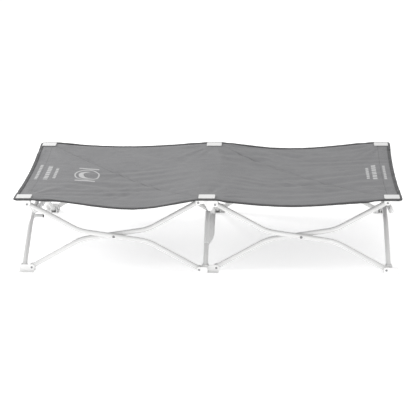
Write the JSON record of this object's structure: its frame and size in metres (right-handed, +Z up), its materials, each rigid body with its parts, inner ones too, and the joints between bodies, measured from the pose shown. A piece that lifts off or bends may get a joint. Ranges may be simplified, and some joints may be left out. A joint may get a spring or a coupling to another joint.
{
  "type": "folding cot",
  "caption": "Low folding cot for a child: grey cloth stretched over corner and side hubs on crossed white bent tubes that fold together into a bundle.",
  "frame": {"origin": "on the floor under the middle of the open cot", "axes": "+X along the cot, +Y across it, +Z up"},
  "size_m": [1.2196, 0.6096, 0.2534],
  "materials": {
    "white_tube": "satin white powder coat",
    "white_plastic": "moulded white plastic, fine texture",
    "rivet_steel": "plated rivets",
    "grey_cloth": "plain-woven polyester, with a dark grey sewn binding",
    "dark_binding": "dark grey folded tape, lockstitched",
    "dark_plug": "matt",
    "label_vinyl": "blank white vinyl"
  },
  "bodies": {
    "foot_front_left": {"foot_front_left": "white_plastic"},
    "hub_front_left": {"hub_front_left": "white_plastic", "cap_front_left": "white_plastic", "cloth_end_left": "grey_cloth"},
    "foot_front_mid": {"foot_front_mid": "white_plastic"},
    "hub_front_mid": {"hub_front_mid": "white_plastic", "cap_front_mid": "white_plastic", "cloth_band_mid": "grey_cloth", "cloth_hem_front_left": "grey_cloth", "cloth_hem_front_right": "grey_cloth"},
    "foot_front_right": {"foot_front_right": "white_plastic"},
    "hub_front_right": {"hub_front_right": "white_plastic", "cap_front_right": "white_plastic", "cloth_end_right": "grey_cloth"},
    "tube_front_left_falling": {"tube_front_left_falling": "white_tube", "rivet_front_left": "rivet_steel"},
    "tube_front_left_rising": {"tube_front_left_rising": "white_tube"},
    "tube_front_right_falling": {"tube_front_right_falling": "white_tube", "rivet_front_right": "rivet_steel"},
    "tube_front_right_rising": {"tube_front_right_rising": "white_tube"},
    "foot_back_left": {"foot_back_left": "white_plastic"},
    "hub_back_left": {"hub_back_left": "white_plastic", "cap_back_left": "white_plastic"},
    "foot_back_mid": {"foot_back_mid": "white_plastic"},
    "hub_back_mid": {"hub_back_mid": "white_plastic", "cap_back_mid": "white_plastic", "cloth_hem_back_left": "grey_cloth", "cloth_hem_back_right": "grey_cloth"},
    "foot_back_right": {"foot_back_right": "white_plastic"},
    "hub_back_right": {"hub_back_right": "white_plastic", "cap_back_right": "white_plastic"},
    "tube_back_left_falling": {"tube_back_left_falling": "white_tube", "rivet_back_left": "rivet_steel"},
    "tube_back_left_rising": {"tube_back_left_rising": "white_tube"},
    "tube_back_right_falling": {"tube_back_right_falling": "white_tube", "rivet_back_right": "rivet_steel"},
    "tube_back_right_rising": {"tube_back_right_rising": "white_tube"},
    "tube_cross_left_rising": {"tube_cross_left_rising": "white_tube", "rivet_cross_left": "rivet_steel", "storage_peg": "white_tube", "peg_plug": "dark_plug"},
    "tube_cross_left_falling": {"tube_cross_left_falling": "white_tube"},
    "tube_cross_mid_rising": {"tube_cross_mid_rising": "white_tube", "rivet_cross_mid": "rivet_steel", "care_label": "label_vinyl"},
    "tube_cross_mid_falling": {"tube_cross_mid_falling": "white_tube"},
    "tube_cross_right_rising": {"tube_cross_right_rising": "white_tube", "rivet_cross_right": "rivet_steel"},
    "tube_cross_right_falling": {"tube_cross_right_falling": "white_tube"},
    "cloth_left_front": {"cloth_left_front": "grey_cloth"},
    "cloth_left_back": {"cloth_left_back": "grey_cloth"},
    "cloth_left_outer": {"cloth_left_outer": "grey_cloth"},
    "cloth_left_inner": {"cloth_left_inner": "grey_cloth"},
    "cloth_right_front": {"cloth_right_front": "grey_cloth"},
    "cloth_right_back": {"cloth_right_back": "grey_cloth"},
    "cloth_right_outer": {"cloth_right_outer": "grey_cloth"},
    "cloth_right_inner": {"cloth_right_inner": "grey_cloth"}
  },
  "joints": [
    {"name": "fold", "type": "hinge", "parent": "foot_front_mid", "child": "tube_front_left_falling", "pos_m": [-0.027, -0.291, 0.014], "axis": [0, 1, 0], "range_deg": [0, 60], "deforming": ["cloth_end_left", "cloth_band_mid", "cloth_hem_front_left", "cloth_hem_front_right", "cloth_end_right", "cloth_hem_back_left", "cloth_hem_back_right", "cloth_left_front", "cloth_left_back", "cloth_left_outer", "cloth_left_inner", "cloth_right_front", "cloth_right_back", "cloth_right_outer", "cloth_right_inner"]},
    {"name": "hub_front_left_pin", "type": "hinge", "parent": "tube_front_left_falling", "child": "hub_front_left", "pos_m": [-0.566, -0.291, 0.234], "axis": [0, 1, 0], "range_deg": [-60, 0]},
    {"name": "crossing_front_left", "type": "hinge", "parent": "tube_front_left_falling", "child": "tube_front_left_rising", "pos_m": [-0.2965, -0.2825, 0.124], "axis": [0, 1, 0], "range_deg": [-120, 0]},
    {"name": "foot_front_left_pin", "type": "hinge", "parent": "tube_front_left_rising", "child": "foot_front_left", "pos_m": [-0.566, -0.274, 0.014], "axis": [0, 1, 0], "range_deg": [0, 60]},
    {"name": "foot_front_mid_to_right_rising", "type": "hinge", "parent": "foot_front_mid", "child": "tube_front_right_rising", "pos_m": [0.027, -0.274, 0.014], "axis": [0, 1, 0], "range_deg": [-60, 0]},
    {"name": "hub_front_right_pin", "type": "hinge", "parent": "tube_front_right_rising", "child": "hub_front_right", "pos_m": [0.566, -0.274, 0.234], "axis": [0, 1, 0], "range_deg": [0, 60]},
    {"name": "crossing_front_right", "type": "hinge", "parent": "tube_front_right_rising", "child": "tube_front_right_falling", "pos_m": [0.2965, -0.2825, 0.124], "axis": [0, 1, 0], "range_deg": [0, 120]},
    {"name": "foot_front_right_pin", "type": "hinge", "parent": "tube_front_right_falling", "child": "foot_front_right", "pos_m": [0.566, -0.291, 0.014], "axis": [0, 1, 0], "range_deg": [-60, 0]},
    {"name": "hub_front_mid_pin", "type": "hinge", "parent": "tube_front_left_rising", "child": "hub_front_mid", "pos_m": [-0.027, -0.274, 0.234], "axis": [0, 1, 0], "range_deg": [0, 60]},
    {"name": "foot_front_mid_to_cross", "type": "hinge", "parent": "foot_front_mid", "child": "tube_cross_mid_rising", "pos_m": [-0.0085, -0.2695, 0.014], "axis": [1, 0, 0], "range_deg": [0, 60]},
    {"name": "crossing_cross_mid", "type": "hinge", "parent": "tube_cross_mid_rising", "child": "tube_cross_mid_falling", "pos_m": [0, 0, 0.124], "axis": [1, 0, 0], "range_deg": [-120, 0]},
    {"name": "hub_back_mid_pin", "type": "hinge", "parent": "tube_cross_mid_rising", "child": "hub_back_mid", "pos_m": [-0.0085, 0.2695, 0.234], "axis": [1, 0, 0], "range_deg": [-60, 0]},
    {"name": "foot_back_mid_pin", "type": "hinge", "parent": "tube_cross_mid_falling", "child": "foot_back_mid", "pos_m": [0.0085, 0.2695, 0.014], "axis": [1, 0, 0], "range_deg": [0, 60]},
    {"name": "foot_front_left_to_cross", "type": "hinge", "parent": "foot_front_left", "child": "tube_cross_left_rising", "pos_m": [-0.5915, -0.2695, 0.014], "axis": [1, 0, 0], "range_deg": [0, 60]},
    {"name": "crossing_cross_left", "type": "hinge", "parent": "tube_cross_left_rising", "child": "tube_cross_left_falling", "pos_m": [-0.583, 0, 0.124], "axis": [1, 0, 0], "range_deg": [-120, 0]},
    {"name": "foot_front_right_to_cross", "type": "hinge", "parent": "foot_front_right", "child": "tube_cross_right_rising", "pos_m": [0.5745, -0.2695, 0.014], "axis": [1, 0, 0], "range_deg": [0, 60]},
    {"name": "crossing_cross_right", "type": "hinge", "parent": "tube_cross_right_rising", "child": "tube_cross_right_falling", "pos_m": [0.583, 0, 0.124], "axis": [1, 0, 0], "range_deg": [-120, 0]},
    {"name": "foot_back_mid_to_left_falling", "type": "hinge", "parent": "foot_back_mid", "child": "tube_back_left_falling", "pos_m": [-0.027, 0.274, 0.014], "axis": [0, 1, 0], "range_deg": [0, 60]},
    {"name": "hub_back_left_pin", "type": "hinge", "parent": "tube_back_left_falling", "child": "hub_back_left", "pos_m": [-0.566, 0.274, 0.234], "axis": [0, 1, 0], "range_deg": [-60, 0]},
    {"name": "crossing_back_left", "type": "hinge", "parent": "tube_back_left_falling", "child": "tube_back_left_rising", "pos_m": [-0.2965, 0.2825, 0.124], "axis": [0, 1, 0], "range_deg": [-120, 0]},
    {"name": "foot_back_left_pin", "type": "hinge", "parent": "tube_back_left_rising", "child": "foot_back_left", "pos_m": [-0.566, 0.291, 0.014], "axis": [0, 1, 0], "range_deg": [0, 60]},
    {"name": "foot_back_mid_to_right_rising", "type": "hinge", "parent": "foot_back_mid", "child": "tube_back_right_rising", "pos_m": [0.027, 0.291, 0.014], "axis": [0, 1, 0], "range_deg": [-60, 0]},
    {"name": "hub_back_right_pin", "type": "hinge", "parent": "tube_back_right_rising", "child": "hub_back_right", "pos_m": [0.566, 0.291, 0.234], "axis": [0, 1, 0], "range_deg": [0, 60]},
    {"name": "crossing_back_right", "type": "hinge", "parent": "tube_back_right_rising", "child": "tube_back_right_falling", "pos_m": [0.2965, 0.2825, 0.124], "axis": [0, 1, 0], "range_deg": [0, 120]},
    {"name": "foot_back_right_pin", "type": "hinge", "parent": "tube_back_right_falling", "child": "foot_back_right", "pos_m": [0.566, 0.274, 0.014], "axis": [0, 1, 0], "range_deg": [-60, 0]},
    {"name": "cloth_left_front_fold", "type": "hinge", "parent": "hub_front_mid", "child": "cloth_left_front", "pos_m": [-0.2915, -0.2625, 0.2493], "axis": [1, 0, 0], "range_deg": [-82.89, 0]},
    {"name": "cloth_left_back_fold", "type": "hinge", "parent": "hub_back_mid", "child": "cloth_left_back", "pos_m": [-0.2915, 0.2625, 0.2493], "axis": [1, 0, 0], "range_deg": [0, 82.89]},
    {"name": "cloth_left_outer_fold", "type": "hinge", "parent": "hub_front_left", "child": "cloth_left_outer", "pos_m": [-0.554, 0, 0.2493], "axis": [0, 1, 0], "range_deg": [0, 82.89]},
    {"name": "cloth_left_inner_fold", "type": "hinge", "parent": "hub_front_mid", "child": "cloth_left_inner", "pos_m": [-0.029, 0, 0.2493], "axis": [0, 1, 0], "range_deg": [-82.89, 0]},
    {"name": "cloth_right_front_fold", "type": "hinge", "parent": "hub_front_mid", "child": "cloth_right_front", "pos_m": [0.2915, -0.2625, 0.2493], "axis": [1, 0, 0], "range_deg": [-82.89, 0]},
    {"name": "cloth_right_back_fold", "type": "hinge", "parent": "hub_back_mid", "child": "cloth_right_back", "pos_m": [0.2915, 0.2625, 0.2493], "axis": [1, 0, 0], "range_deg": [0, 82.89]},
    {"name": "cloth_right_outer_fold", "type": "hinge", "parent": "hub_front_right", "child": "cloth_right_outer", "pos_m": [0.554, 0, 0.2493], "axis": [0, 1, 0], "range_deg": [-82.89, 0]},
    {"name": "cloth_right_inner_fold", "type": "hinge", "parent": "hub_front_mid", "child": "cloth_right_inner", "pos_m": [0.029, 0, 0.2493], "axis": [0, 1, 0], "range_deg": [0, 82.89]}
  ],
  "couplings": [
    {"joint": "hub_front_left_pin", "follows": "fold", "ratio": -1},
    {"joint": "crossing_front_left", "follows": "fold", "ratio": -2},
    {"joint": "foot_front_left_pin", "follows": "fold", "ratio": 1},
    {"joint": "foot_front_mid_to_right_rising", "follows": "fold", "ratio": -1},
    {"joint": "hub_front_right_pin", "follows": "fold", "ratio": 1},
    {"joint": "crossing_front_right", "follows": "fold", "ratio": 2},
    {"joint": "foot_front_right_pin", "follows": "fold", "ratio": -1},
    {"joint": "hub_front_mid_pin", "follows": "fold", "ratio": 1},
    {"joint": "foot_front_mid_to_cross", "follows": "fold", "ratio": 1},
    {"joint": "crossing_cross_mid", "follows": "fold", "ratio": -2},
    {"joint": "hub_back_mid_pin", "follows": "fold", "ratio": -1},
    {"joint": "foot_back_mid_pin", "follows": "fold", "ratio": 1},
    {"joint": "foot_front_left_to_cross", "follows": "fold", "ratio": 1},
    {"joint": "crossing_cross_left", "follows": "fold", "ratio": -2},
    {"joint": "foot_front_right_to_cross", "follows": "fold", "ratio": 1},
    {"joint": "crossing_cross_right", "follows": "fold", "ratio": -2},
    {"joint": "foot_back_mid_to_left_falling", "follows": "fold", "ratio": 1},
    {"joint": "hub_back_left_pin", "follows": "fold", "ratio": -1},
    {"joint": "crossing_back_left", "follows": "fold", "ratio": -2},
    {"joint": "foot_back_left_pin", "follows": "fold", "ratio": 1},
    {"joint": "foot_back_mid_to_right_rising", "follows": "fold", "ratio": -1},
    {"joint": "hub_back_right_pin", "follows": "fold", "ratio": 1},
    {"joint": "crossing_back_right", "follows": "fold", "ratio": 2},
    {"joint": "foot_back_right_pin", "follows": "fold", "ratio": -1},
    {"joint": "cloth_left_front_fold", "follows": "fold", "ratio": -1.3815},
    {"joint": "cloth_left_back_fold", "follows": "fold", "ratio": 1.3815},
    {"joint": "cloth_left_outer_fold", "follows": "fold", "ratio": 1.3815},
    {"joint": "cloth_left_inner_fold", "follows": "fold", "ratio": -1.3815},
    {"joint": "cloth_right_front_fold", "follows": "fold", "ratio": -1.3815},
    {"joint": "cloth_right_back_fold", "follows": "fold", "ratio": 1.3815},
    {"joint": "cloth_right_outer_fold", "follows": "fold", "ratio": -1.3815},
    {"joint": "cloth_right_inner_fold", "follows": "fold", "ratio": 1.3815}
  ]
}
